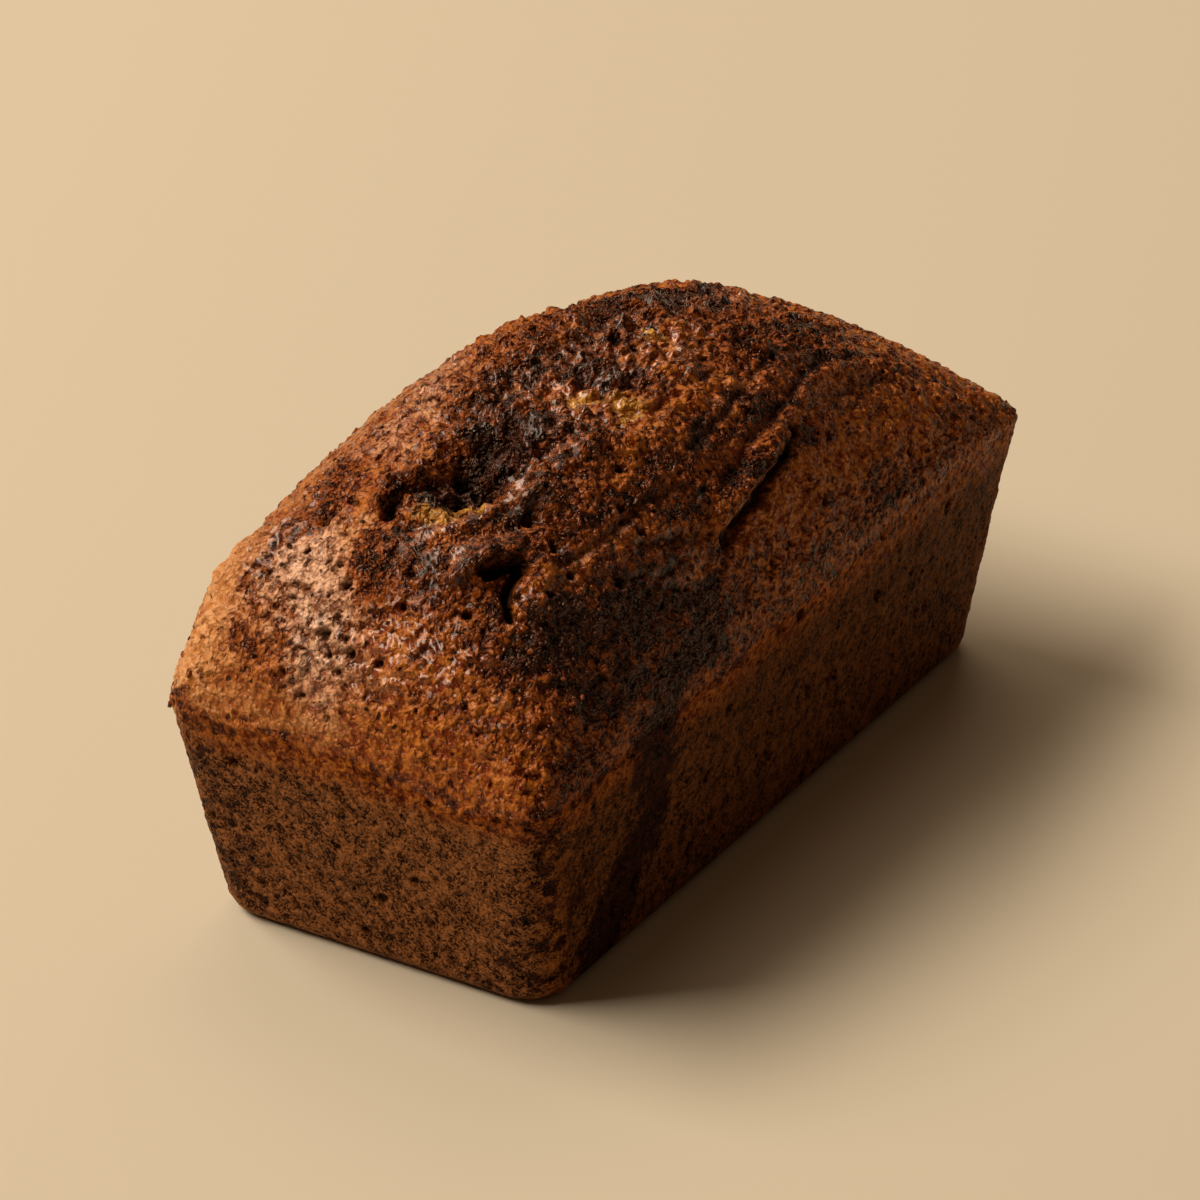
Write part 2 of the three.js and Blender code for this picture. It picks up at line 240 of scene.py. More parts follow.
# Noise that swirls the strokes: reach, size and seed. Streaks that fray them: whether they
# follow the swirls, share, stretch along the loaf (less than 1 is longer), size and seed.
SWIRLS = (3.4, 9, 31)
STREAKS = [(False, 0.5, 0.55, 4, 41), (False, 0.35, 1, 1.9, 42), (True, 0.8, 0.2, 2.6, 43)]

# Chocolate at a place: a level, and the shares that strokes, streaks and ash take in it.
CHOCOLATE = {"level": 0.46, "strokes": 0.64, "streaks": 0.34, "ash": 0.3, "range": (-0.5, 1.2)}
LIGHT_FRAYING = 0.1
OPEN_CRUMB = {"fraying": 0.3, "edge": (0.25, 0.75), "most": 0.9}


def smooth_step(value, low, high):
    """0 below low, 1 above high, and between them 3 r ** 2 - 2 r ** 3, r being the share of the way."""
    share = np.clip((value - low) / (high - low), 0, 1)
    return share * share * (3 - 2 * share)


def crumb_noise(points, size, seed):
    """Smooth gradient noise, about -1 to 1, on a lattice of the given size.

    Each lattice corner has a random direction. The value is the dot product of that direction
    with the way from the corner, blended between the eight corners by a quintic fade.
    """
    draw = np.random.default_rng(seed)
    shuffle = draw.permutation(256)
    directions = draw.normal(size=(256, 3))
    directions /= np.linalg.norm(directions, axis=1, keepdims=True)
    place = np.asarray(points) / size
    cell = np.floor(place).astype(int)
    within = place - cell
    fade = within**3 * (within * (within * 6 - 15) + 10)
    total = np.zeros(place.shape[:-1])
    for corner in itertools.product((0, 1), repeat=3):
        weight = np.prod(np.where(corner, fade, 1 - fade), axis=-1)
        direction = directions[shuffled_number(cell + corner, shuffle)]
        total += weight * np.sum(direction * (within - corner), axis=-1)
    return total * 1.6


def shuffled_number(cell, shuffle):
    """A number for each cell of a lattice, looked up by each of its three places in turn."""
    number = 0
    for axis in range(3):
        number = shuffle[(number + cell[..., axis]) % len(shuffle)]
    return number


def rippled(points, rise, size, seed):
    """Rise times the noise: gentle waves."""
    return rise * crumb_noise(points, size, seed)


def bulged(points, kinds):
    """Bulges that meet in creases: rise times (the noise without its sign, less a level), added up."""
    total = np.zeros(points.shape[:-1])
    for rise, size, seed, level in kinds:
        total += rise * (np.abs(crumb_noise(points, size, seed)) - level)
    return total


def burst_bubbles(points, cell_size, share, seed):
    """Depth, 0 to 1, of round pits left by bubbles: one may sit in each cell of a lattice.

    A cell's pit has a random centre, a radius of 0.22 to 0.44 cells and a random number that must
    be below the share at the point. With d = distance / radius its depth is exp(-d ** 4), less a
    raised lip of 0.25 exp(-((d - 1.3) / 0.3) ** 2). The strongest pit at a point counts.
    """
    draw = np.random.default_rng(seed)
    shuffle = draw.permutation(1024)
    centres = draw.uniform(0.15, 0.85, (1024, 3))
    radii = draw.uniform(0.22, 0.44, 1024)
    lots = draw.uniform(0, 1, 1024)
    place = points / cell_size
    cell = np.floor(place).astype(int)
    depth = np.zeros(points.shape[:-1])
    for step in itertools.product((-1, 0, 1), repeat=3):
        near = cell + step
        number = shuffled_number(near, shuffle)
        away = np.linalg.norm(place - near - centres[number], axis=-1) / radii[number]
        pit = np.exp(-(away**4)) - 0.25 * np.exp(-(((away - 1.3) / 0.3) ** 2))
        depth = np.where((lots[number] < share) & (np.abs(pit) > np.abs(depth)), pit, depth)
    return depth


def plan_place(s, t, half_length, half_width, radius):
    """x, y on a rounded rectangle: s and t from -1 to 1, with each corner square pulled onto its disc."""
    x, y = half_length * np.abs(s), half_width * np.abs(t)
    corner_x = np.clip((x - half_length + radius) / radius, 0, 1)
    corner_y = np.clip((y - half_width + radius) / radius, 0, 1)
    round_x = half_length - radius + radius * corner_x * np.sqrt(1 - corner_y**2 / 2)
    round_y = half_width - radius + radius * corner_y * np.sqrt(1 - corner_x**2 / 2)
    return np.sign(s) * np.where(corner_x > 0, round_x, x), np.sign(t) * np.where(corner_y > 0, round_y, y)


def crown_share(s, t):
    """The crown's rise as a share of its full height: the fall along it times the fall across it."""
    near = s < CREST_SHIFT
    reach = np.where(near, (CREST_SHIFT - s) / (1 + CREST_SHIFT), (s - CREST_SHIFT) / (1 - CREST_SHIFT))
    along = np.clip(1 - reach ** np.where(near, NEAR_END[0], FAR_END[0]), 0, 1)
    along = along ** np.where(near, NEAR_END[1], FAR_END[1])
    across = np.clip(1 - np.abs(t) ** np.where(t < 0, NEAR_SIDE[0], FAR_SIDE[0]), 0, 1)
    return along * across ** np.where(t < 0, NEAR_SIDE[1], FAR_SIDE[1])


def smooth_crown(s, t):
    """The crown before its relief: the plan place, lifted by its share, with the far side leaning out."""
    x, y = plan_place(s, t, RIM_LENGTH / 2, RIM_WIDTH / 2, RIM_CORNER)
    share = crown_share(s, t)
    bulge = FAR_SIDE_BULGE * np.clip(t, 0, 1) ** 3 * np.sin(np.pi * share) * (1 - s**4)
    return np.stack([x, y + bulge, RIM_HEIGHT + RIM_RISE * s / 2 + CROWN_RISE * share], axis=-1)


def rim_sway(points):
    """How far crust near the rim sits higher or lower.

    Each sag is rise times exp(-(distance in plan / reach) ** 2). The sags plus the waves are
    multiplied by exp(-(height from the rim / fade) ** 2).
    """
    rim = RIM_HEIGHT + RIM_RISE * points[..., 0] / RIM_LENGTH
    rise = rippled(points * (1, 1, 0.3), *RIM_WAVES)
    for x, y, reach, height in RIM_SAGS:
        away = (points[..., 0] - x) ** 2 + (points[..., 1] - y) ** 2
        rise = rise + height * np.exp(-away / reach**2)
    return rise * np.exp(-(((points[..., 2] - rim) / RIM_SWAY_FADE) ** 2))


def path_distance(points, path):
    """The distance from each point to the nearest straight length of a path, in the plan or in space."""
    path = np.array(path, float)
    nearest = np.full(points.shape[:-1], np.inf)
    for start, end in zip(path[:-1], path[1:]):
        along = end - start
        share = np.clip((points - start) @ along / (along @ along), 0, 1)
        foot = start + share[..., None] * along
        nearest = np.minimum(nearest, np.linalg.norm(points - foot, axis=-1))
    return nearest


def outward(points):
    """Unit directions away from the line that runs inside the loaf at the rim's height or lower."""
    spine_end = (RIM_LENGTH - RIM_WIDTH) / 2
    from_spine_x = points[..., 0] - np.clip(points[..., 0], -spine_end, spine_end)
    above_rim = np.clip(points[..., 2] - RIM_HEIGHT, 0, None)
    way = np.stack([from_spine_x, points[..., 1], above_rim], axis=-1)
    return way / np.maximum(np.linalg.norm(way, axis=-1, keepdims=True), 1e-9)


def baked_unevenness(points):
    """Broad waves, and ripples with a grain of small bulges, each faded out towards the floor."""
    waves = rippled(points, *CRUST_WAVES) * smooth_step(points[..., 2], *WAVE_FADE)
    fine = rippled(points, *CRUST_RIPPLES) + bulged(points, CRUST_GRAIN)
    return waves + fine * smooth_step(points[..., 2], *FOOT_FADE)


def even_steps(line, count, evenness=0.05, samples=4001):
    """Parameters that step evenly along a line's length, blended with evenly spaced ones."""
    parameter = np.sin(np.linspace(-1, 1, samples) * np.pi / 2)
    points = line(parameter)
    length = np.r_[0, np.cumsum(np.linalg.norm(np.diff(points, axis=0), axis=1))]
    by_length = np.interp(np.linspace(0, length[-1], count + 1), length, parameter)
    return (1 - evenness) * by_length + evenness * np.linspace(-1, 1, count + 1)


def wandered(points, reach, size, seed):
    """Points pushed sideways by noise of the given size and of 0.38 times that size."""
    broad = [crumb_noise(points, size, seed + k) for k in range(3)]
    narrow = [crumb_noise(points, size * 0.38, seed + 3 + k) for k in range(3)]
    return points + reach * np.stack(broad, axis=-1) + 0.5 * reach * np.stack(narrow, axis=-1)


def tear_relief(plan, tears):
    """Rises and gaps of tears, how far their edges lean, and the painted shade in the gaps.

    Each follows exp(-(d / half width) ** 2), or ** 3 for a gap. A gap's painted shade is as dark
    as its depth over its width, up to 1.
    """
    height, lean, dark = np.zeros(plan.shape[:-1]), np.zeros(plan.shape), np.zeros(plan.shape[:-1])
    for path, width, rise, edge_lean in tears:
        near = path_distance(plan, path) / (width / 2)
        profile = np.exp(-(near ** (3 if rise < 0 else 2)))
        height += rise * profile
        lean += profile[..., None] * edge_lean
        dark = np.maximum(dark, min(max(-rise / width, 0), 1) * profile)
    return height, lean, dark


def crown_relief(points, plan):
    """The crown's relief, how far the torn edges lean and the painted shade in the gaps.

    The basin is flat inside its wall, which rises by a smooth step. A swell is rise times
    exp(-(x share squared + y share squared)) of its reach. Lumps are bulges times how craggy the
    place is.
    """
    stray = wandered(points, *TEAR_STRAY)[..., :2] - points[..., :2]
    ragged_plan = plan + stray
    basin_share = np.linalg.norm((ragged_plan - BASIN["centre"]) / BASIN["reach"], axis=-1)
    height = -BASIN["depth"] * (1 - smooth_step(basin_share, *BASIN["wall"]))
    crack_rise, crack_lean, crack_shade = tear_relief(plan + CRACK_STRAY * stray, CRACKS)
    fold_rise, fold_lean, fold_shade = tear_relief(plan + FOLD_STRAY * stray, FOLDS)
    height = height + crack_rise + fold_rise
    for x, y, along, across, rise in SWELLS:
        away = ((ragged_plan[..., 0] - x) / along) ** 2 + ((ragged_plan[..., 1] - y) / across) ** 2
        height += rise * np.exp(-away)
    crest_light_share = np.linalg.norm((plan - CRAGGY["middle"]) / CRAGGY["reach"], axis=-1)
    craggy = CRAGGY["most"] - CRAGGY["loss"] * smooth_step(crest_light_share, *CRAGGY["edge"])
    height += bulged(points, LUMPS) * craggy
    return height, crack_lean + fold_lean, np.maximum(crack_shade, fold_shade)


def lifted(path):
    """Gives a path's plan points their height on the crown, and leaves points that have one."""
    points = []
    for point in path:
        if len(point) == 3:
            points.append(point)
        else:
            s, t = np.array(point[0] / (RIM_LENGTH / 2)), np.array(point[1] / (RIM_WIDTH / 2))
            points.append(tuple(smooth_crown(np.clip(s, -1, 1), np.clip(t, -1, 1))))
    return points


def stroke_mask(points, strokes):
    """The strongest stroke at each point: strength times exp(-(distance / width) ** 2)."""
    mask = np.zeros(points.shape[:-1])
    for path, width, strength in strokes:
        away = path_distance(points, lifted(path)) / width
        mask = np.maximum(mask, strength * np.exp(-(away**2)))
    return mask


def pitted(points, ash, big, small, single_pits):
    """Depth in mm and painted shade of the bubbles that burst in a crust: big, small and single ones.

    Each is its kind's depth or darkness times the pit's own depth, 0 to 1; the darkness is painted
    shade. Single pits count as big ones and are exp(-(distance / radius) ** 4). Depths add up, and
    the darker shade counts.
    """
    places = wandered(points, *BUBBLE_STRAY)
    big_pits = burst_bubbles(places, big["size"], big["share"] + big["in_ash"] * ash, big["seed"])
    for x, y, z, radius in single_pits:
        away = np.linalg.norm(places - (x, y, z), axis=-1)
        big_pits = np.maximum(big_pits, np.exp(-((away / radius) ** 4)))
    small_share = small["share"] + small["in_ash"] * ash
    small_pits = burst_bubbles(places, small["size"], small_share, small["seed"])
    depth = big["depth"] * big_pits + small["depth"] * small_pits
    return depth, np.maximum(big["dark"] * big_pits, small["dark"] * small_pits)


def crust_colour_masks(points):
    """How much chocolate, light crust, ash, open crumb and gloss each point has, up to about 1.

    Swirls push the points about first, which bends and frays the strokes. Chocolate is a level,
    plus shares of the chocolate strokes less the golden ones and of the streaks, less that of ash.
    """
    swirled = wandered(points, *SWIRLS)
    streaky = np.zeros(points.shape[:-1])
    for in_swirls, share, stretch, size, seed in STREAKS:
        place = swirled if in_swirls else points
        streaky += rippled(place * (stretch, 1, 1), share, size, seed)
    balance = stroke_mask(swirled, CHOCOLATE_STROKES) - stroke_mask(swirled, GOLDEN_STROKES)
    ash = np.clip(stroke_mask(swirled, ASHY_STROKES), 0, 1)
    chocolate = CHOCOLATE["level"] + CHOCOLATE["strokes"] * balance
    chocolate += CHOCOLATE["streaks"] * streaky - CHOCOLATE["ash"] * ash
    open_crumb = stroke_mask(points, OPEN_CRUMB_STROKES) + OPEN_CRUMB["fraying"] * streaky
    return {
        "chocolate": np.clip(chocolate, *CHOCOLATE["range"]),
        "light_crust": np.clip(stroke_mask(swirled, LIGHT_STROKES) + LIGHT_FRAYING * streaky, 0, 1),
        "ash": ash,
        "open_crumb": OPEN_CRUMB["most"] * smooth_step(open_crumb, *OPEN_CRUMB["edge"]),
        "gloss": np.clip(stroke_mask(swirled, GLOSSY_STROKES), 0, 1),
    }


def crust_piece(name, points, faces, masks):
    """A smooth mesh in the crust's slot, from points in mm, faces of equal corner count and masks."""
    mesh = bpy.data.meshes.new(name)
    mesh.vertices.add(points.size // 3)
    mesh.vertices.foreach_set("co", (points * MM).astype(np.float32).ravel())
    mesh.loops.add(faces.size)
    mesh.loops.foreach_set("vertex_index", faces.astype(np.int32).ravel())
    mesh.polygons.add(len(faces))
    mesh.polygons.foreach_set("loop_start", np.arange(0, faces.size, faces.shape[1], dtype=np.int32))
    mesh.update(calc_edges=True)
    mesh.validate()
    mesh.polygons.foreach_set("use_smooth", np.ones(len(faces), bool))
    for mask_name, values in masks.items():
        layer = mesh.attributes.new(mask_name, "FLOAT", "POINT")
        layer.data.foreach_set("value", values.astype(np.float32).ravel())
    piece = bpy.data.objects.new(name, mesh)
    bpy.context.scene.collection.objects.link(piece)
    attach(piece, "root")
    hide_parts("marble_cake")
    return piece


def grid_piece(name, points, masks, closed=False):
    """A piece from a grid of points, with one face between each four neighbours.

    A closed grid also has faces between its last column and its first.
    """
    columns, rows = points.shape[:2]
    index = np.arange(columns * rows).reshape(columns, rows)
    ahead = np.roll(index, -1, axis=0)
    here = index if closed else index[:-1]
    ahead = ahead if closed else ahead[:-1]
    corners = [here[:, :-1], ahead[:, :-1], ahead[:, 1:], here[:, 1:]]
    return crust_piece(name, points, np.stack([c.ravel() for c in corners], axis=-1), masks)


def fill_sockets(tree, sockets, values):
    """Links each output, or sets each plain value, on the sockets in turn."""
    for socket, value in zip(sockets, values):
        if isinstance(value, bpy.types.NodeSocket):
            tree.links.new(value, socket)
        else:
            socket.default_value = value


def new_node(tree, kind, settings=None, **values):
    """Adds a node, sets its properties and fills its named sockets."""
    node = tree.nodes.new(kind)
    for key, value in (settings or {}).items():
        setattr(node, key, value)
    fill_sockets(tree, [node.inputs[key.replace("_", " ")] for key in values], values.values())
    return node


def mixed(tree, factor, first, second):
    """Mixes two colours by a factor: each may be an output or a plain value."""
    node = new_node(tree, "ShaderNodeMix", {"data_type": "RGBA"})
    fill_sockets(tree, (node.inputs[0], node.inputs[6], node.inputs[7]), (factor, first, second))
    return node.outputs[2]


def reckon(tree, operation, *values, clamp=False):
    """A Math node on outputs or plain numbers."""
    node = new_node(tree, "ShaderNodeMath", {"operation": operation, "use_clamp": clamp})
    fill_sockets(tree, node.inputs, values)
    return node.outputs[0]


def ramped(tree, value, low, high):
    """0 below low, 1 above high and a smooth rise between."""
    settings = {"interpolation_type": "SMOOTHSTEP"}
    node = new_node(tree, "ShaderNodeMapRange", settings, Value=value, From_Min=low, From_Max=high)
    return node.outputs["Result"]


def scaled(tree, value, factor, plus=0.0):
    """A value times a factor, plus something: each may be an output or a plain number."""
    return reckon(tree, "MULTIPLY_ADD", value, factor, plus)


# The grain's cells and noises: how many to a metre. The place itself strays, in metres.
GRAIN_SCALES = {"stray": 700, "bead": 1500, "grit": 3000, "pore": 620, "wrinkle": 600, "rough": 1300}
GRAIN_STRAY = 0.0012

# The grain's heights in mm. Beads and grit are domes, so they fall away from their middles.
GRAIN_HEIGHTS = {"bead": -0.6, "grit": -0.08, "pore": -0.5, "wrinkle": 1.7, "rough": 0.35}

# What makes up a fleck: the shares of the bead's own shade, the grit's own and the wrinkle's crest,
# whose share is painted light on the crests.
FLECK_SHARES, FINE_FLECK_SHARES = (0.35, 0.25, 0.4), (0.15, 0.65, 0.2)

# Ramps: the wall of a pore, the crest of a wrinkle and the gap between beads. Crests close gaps,
# so the painted shade in the gaps fades on them.
PORE_WALL, WRINKLE_CREST, BEAD_GAP = (0.18, 0.32), (0.3, 0.7), (0.2, 0.55)
CREST_CLOSING = -0.25


def crumb_grain_group():
    """The fine grain of baked crumb: beads of 0.65 mm, grit of 0.33 mm, wrinkles and tiny pores.

    Beads is the height in mm of the beads and the grit, roughened and less the pores, and
    Wrinkles that of the wrinkles. Fleck is each bead's own random shade, plus painted light on the
    wrinkles' crests, and Fine Fleck mostly that of the grit, with less of the crests' painted light.
    The gap output is high in the gaps between beads, where it paints shade, and Pore is 1 in a pore.
    """
    group = bpy.data.node_groups.new("crumb_grain", "ShaderNodeTree")
    group.interface.new_socket("Vector", in_out="INPUT", socket_type="NodeSocketVector")
    group.interface.new_socket("Pore Share", in_out="INPUT", socket_type="NodeSocketFloat")
    for output in ("Beads", "Wrinkles", "Fleck", "Fine Fleck", "Gap Shade", "Pore"):
        group.interface.new_socket(output, in_out="OUTPUT", socket_type="NodeSocketFloat")
    inside, outside = group.nodes.new("NodeGroupInput"), group.nodes.new("NodeGroupOutput")

    def noise(place, kind, detail, roughness=0.6):
        """A noise at the scale of its kind of grain."""
        return new_node(group, "ShaderNodeTexNoise", Vector=place, Scale=GRAIN_SCALES[kind],
                        Detail=detail, Roughness=roughness).outputs

    def cells(kind):
        """The distance from the middle of the nearest cell, and that cell's random shade."""
        cell = new_node(group, "ShaderNodeTexVoronoi", {"feature": "F1"},
                        Vector=strayed, Scale=GRAIN_SCALES[kind]).outputs
        colour = new_node(group, "ShaderNodeSeparateColor", Color=cell["Color"])
        return cell["Distance"], colour.outputs["Red"]

    place = inside.outputs["Vector"]
    stray = new_node(group, "ShaderNodeVectorMath", {"operation": "MULTIPLY_ADD"})
    fill_sockets(group, stray.inputs, (noise(place, "stray", 1.0)["Color"], [GRAIN_STRAY] * 3, place))
    strayed = stray.outputs["Vector"]

    bead_away, bead_shade = cells("bead")
    grit_away, grit_shade = cells("grit")
    pore_away, pore_lot = cells("pore")
    chosen = reckon(group, "LESS_THAN", pore_lot, inside.outputs["Pore Share"])
    pore = reckon(group, "SUBTRACT", 1.0, ramped(group, pore_away, *PORE_WALL))
    pore = reckon(group, "MULTIPLY", pore, chosen)
    wrinkle = noise(strayed, "wrinkle", 1.0, 0.45)["Fac"]
    crest = ramped(group, wrinkle, *WRINKLE_CREST)
    rough = noise(strayed, "rough", 0.0)["Fac"]

    def fleck(bead_share, grit_share, crest_light_share):
        """The random shades of beads and grit together, with painted light on the crests."""
        shade = scaled(group, grit_shade, grit_share, scaled(group, bead_shade, bead_share))
        return scaled(group, crest, crest_light_share, shade)

    bead_dome, grit_dome = (reckon(group, "POWER", away, 2.0) for away in (bead_away, grit_away))
    beads = 0.0
    for kind, value in (("bead", bead_dome), ("grit", grit_dome), ("rough", rough), ("pore", pore)):
        beads = scaled(group, value, GRAIN_HEIGHTS[kind], beads)
    wrinkles = scaled(group, wrinkle, GRAIN_HEIGHTS["wrinkle"])
    # Painted shade in the gaps between beads, less on the crests.
    pit = ramped(group, scaled(group, crest, CREST_CLOSING, bead_away), *BEAD_GAP)
    results = (beads, wrinkles, fleck(*FLECK_SHARES), fleck(*FINE_FLECK_SHARES), pit, pore)
    fill_sockets(group, outside.inputs, results)
    return group


CRUMB_GRAIN = crumb_grain_group()

# Each kind of crust: the tone of its pits and the tone of its beads. Pits take the deep tone as
# painted shade. The long sides' tones are the tin crust of the ends again, darker: painted shade.
CRUST_TONES = {
    "golden": ((0.19, 0.026, 0.0015, 1), (0.47, 0.15, 0.018, 1)),
    "light_crust": ((0.56, 0.22, 0.055, 1), (0.76, 0.42, 0.19, 1)),
    "ash": ((0.26, 0.1, 0.045, 1), (0.8, 0.5, 0.33, 1)),
    "brown": ((0.042, 0.0045, 0.0006, 1), (0.29, 0.07, 0.0085, 1)),
    "chocolate": ((0.003, 0.0005, 0.0002, 1), (0.058, 0.0145, 0.006, 1)),
    "open_crumb": ((0.24, 0.075, 0.003, 1), (0.62, 0.32, 0.05, 1)),
    "tin_end": ((0.015, 0.003, 0.0004, 1), (0.34, 0.133, 0.045, 1)),
    "tin_side_shaded": ((0.012, 0.003, 0.0007, 1), (0.215, 0.074, 0.0185, 1)),
}
# The tone of painted shade in hollows, pores and tear gaps.
HOLLOW_SHADE_TONE = (0.004, 0.0012, 0.0005, 1.0)
SHINE_TINT = (1, 0.66, 0.48, 1)
GLAZE_ROUGHNESS = 0.2

# Pores: what ash adds to their share, the share in plain crust, and how dark their painted shade is.
PORE_SHARE, PORE_SHADE = (0.25, 0.13), 0.9

# Broad patchiness, as settings of a noise texture.
PATCHES = {"Scale": 300.0, "Detail": 3.0, "Roughness": 0.7}

# Crust that set against the tin is even, and light crust half so.
LIGHT_EVENNESS = 0.5

# The tone, from deep at 0 to high at 1: what flecks, pits and patches add to it, and its level.
# What pits take is painted shade, and flecks bring painted light on crests. Pairs are a change and
# a level: the tin's for the level, evenness's for flecks and pits.
FLECK_RAMP = (0.15, 0.75)
TONE = {"level": (-0.15, 0.65), "fleck": (-0.2, 1.0), "pit": (0.27, -0.45), "patch": 1.5}

# Chocolate is shaken by flecks and patches. The ramps say where it shows as dark, brown and black.
SHAKEN = {"fleck": 0.38, "patch": 1.3}
DARK_RAMP, BROWN_RAMP, CHOCOLATE_RAMP = (0.3, 0.85), (0.2, 0.55), (0.62, 1.0)

# Roughness and glaze: their level, and what each mask adds.
ROUGHNESS = {"level": 0.31, "fleck": 0.12, "dark": -0.08, "gloss": -0.06, "shade": 0.4, "tin": 0.3}
LEAST_ROUGHNESS = 0.12
GLAZE = {"gloss": 0.9, "dark": -0.4, "shade": -0.8}

# How much of the beads' height plain crust shows, what dark crust adds, and what evenness takes.
BEAD_RELIEF, DARK_BEADS, EVEN_RELIEF = 0.45, 0.55, -0.6


def baked_crust(name, shine):
    """Browned crust: each kind has a deep tone for its pits and a high tone for its beads.

    The tone between them is a level, plus the bead's own shade and the patches, less the pits.
    Taking the pits is painted shade, and the crests lighten as painted light. Golden crust gives
    way to other kinds by their masks, then bead by bead to brown and to chocolate, then to open
    crumb and to the painted shade of hollows and pores. Crust that set against the tin has no
    brown, and is rougher, flatter and finer grained; its darker tones on the long sides are painted
    shade. Glossy places have a glaze.
    """
    material = bpy.data.materials.new(name)
    material.use_nodes = True
    tree = material.node_tree
    tree.nodes.clear()
    shader = new_node(tree, "ShaderNodeBsdfPrincipled",
                      Specular_IOR_Level=shine, Specular_Tint=SHINE_TINT, Coat_Roughness=GLAZE_ROUGHNESS)
    new_node(tree, "ShaderNodeOutputMaterial", Surface=shader.outputs["BSDF"])
    place = tree.nodes.new("ShaderNodeTexCoord").outputs["Object"]

    def mask(mask_name):
        """One of the piece's own masks, or 0 where it has none of that name."""
        node = new_node(tree, "ShaderNodeAttribute", {"attribute_name": mask_name})
        return node.outputs["Fac"]

    def toned(kind):
        """A kind of crust between its deep and its high tone."""
        return mixed(tree, tone, *CRUST_TONES[kind])

    pore_share = scaled(tree, mask("ash"), *PORE_SHARE)
    grain = new_node(tree, "ShaderNodeGroup", {"node_tree": CRUMB_GRAIN},
                     Vector=place, Pore_Share=pore_share).outputs
    broad = new_node(tree, "ShaderNodeTexNoise", Vector=place, **PATCHES)
    patch = reckon(tree, "SUBTRACT", broad.outputs["Fac"], 0.5)
    gloss = mask("gloss")
    tin = reckon(tree, "ADD", mask("tin_end"), mask("tin_side_shaded"), clamp=True)
    even = reckon(tree, "MAXIMUM", tin, scaled(tree, mask("light_crust"), LIGHT_EVENNESS))
    finer = reckon(tree, "SUBTRACT", grain["Fine Fleck"], grain["Fleck"])
    fleck = scaled(tree, finer, tin, grain["Fleck"])

    # Painted light on crests comes in with the fleck, and painted shade in the gaps between beads.
    lit = reckon(tree, "SUBTRACT", ramped(tree, fleck, *FLECK_RAMP), 0.5)
    lit = reckon(tree, "MULTIPLY", lit, scaled(tree, even, *TONE["fleck"]))
    lit = scaled(tree, grain["Gap Shade"], scaled(tree, even, *TONE["pit"]), lit)
    lit = reckon(tree, "ADD", lit, scaled(tree, tin, *TONE["level"]))
    tone = reckon(tree, "MULTIPLY_ADD", patch, TONE["patch"], lit, clamp=True)

    colour = toned("golden")
    for kind in ("light_crust", "ash", "tin_end", "tin_side_shaded"):
        colour = mixed(tree, mask(kind), colour, toned(kind))
    shaken = scaled(tree, reckon(tree, "SUBTRACT", 0.5, fleck), SHAKEN["fleck"], mask("chocolate"))
    shaken = scaled(tree, patch, SHAKEN["patch"], shaken)
    dark = ramped(tree, shaken, *DARK_RAMP)
    browned = reckon(tree, "MULTIPLY", ramped(tree, shaken, *BROWN_RAMP), scaled(tree, tin, -1.0, 1.0))
    colour = mixed(tree, browned, colour, toned("brown"))
    colour = mixed(tree, ramped(tree, shaken, *CHOCOLATE_RAMP), colour, toned("chocolate"))
    colour = mixed(tree, mask("open_crumb"), colour, toned("open_crumb"))
    # Painted shade: hollows and pores are mixed towards the hollow tone.
    shade = reckon(tree, "MAXIMUM", mask("hollow"), scaled(tree, grain["Pore"], PORE_SHADE))
    tree.links.new(mixed(tree, shade, colour, HOLLOW_SHADE_TONE), shader.inputs["Base Color"])

    rough = scaled(tree, reckon(tree, "SUBTRACT", fleck, 0.5), ROUGHNESS["fleck"], ROUGHNESS["level"])
    for cause, value in (("dark", dark), ("gloss", gloss), ("shade", shade), ("tin", tin)):
        rough = scaled(tree, value, ROUGHNESS[cause], rough)
    tree.links.new(reckon(tree, "MAXIMUM", rough, LEAST_ROUGHNESS), shader.inputs["Roughness"])
    dulled = scaled(tree, dark, GLAZE["dark"], scaled(tree, shade, GLAZE["shade"]))
    glaze = reckon(tree, "MULTIPLY_ADD", gloss, GLAZE["gloss"], dulled, clamp=True)
    tree.links.new(glaze, shader.inputs["Coat Weight"])

    bead_relief = scaled(tree, dark, DARK_BEADS, BEAD_RELIEF)
    height = scaled(tree, grain["Beads"], bead_relief, grain["Wrinkles"])
    height = reckon(tree, "MULTIPLY", height, scaled(tree, even, EVEN_RELIEF, 1.0))
    dent = new_node(tree, "ShaderNodeBump", Strength=1.0, Distance=MM, Height=height)
    tree.links.new(dent.outputs["Normal"], shader.inputs["Normal"])
    return material


s_steps = even_steps(lambda s: smooth_crown(s, np.zeros_like(s)), CROWN_COLUMNS)
t_steps = even_steps(lambda t: smooth_crown(np.zeros_like(t), t), CROWN_ROWS)
s_grid, t_grid = np.meshgrid(s_steps, t_steps, indexing="ij")
crown_points = smooth_crown(s_grid, t_grid)
crown_plan = np.stack(plan_place(s_grid, t_grid, RIM_LENGTH / 2, RIM_WIDTH / 2, RIM_CORNER), axis=-1)
crown_masks = crust_colour_masks(crown_points)
relief, edge_lean, gap_shade = crown_relief(crown_points, crown_plan)
crown_pits = [(*lifted([(x, y)])[0], radius) for x, y, radius in BURST_BUBBLES]
pit_depth, pit_shade = pitted(crown_points, crown_masks["ash"], BIG_BUBBLES, SMALL_BUBBLES, crown_pits)
inside_rim = smooth_step(1 - np.abs(s_grid), 0, RIM_FADE_ALONG)
inside_rim = inside_rim * smooth_step(1 - np.abs(t_grid), 0, RIM_FADE_ACROSS)
push = baked_unevenness(crown_points) + (relief - pit_depth) * inside_rim
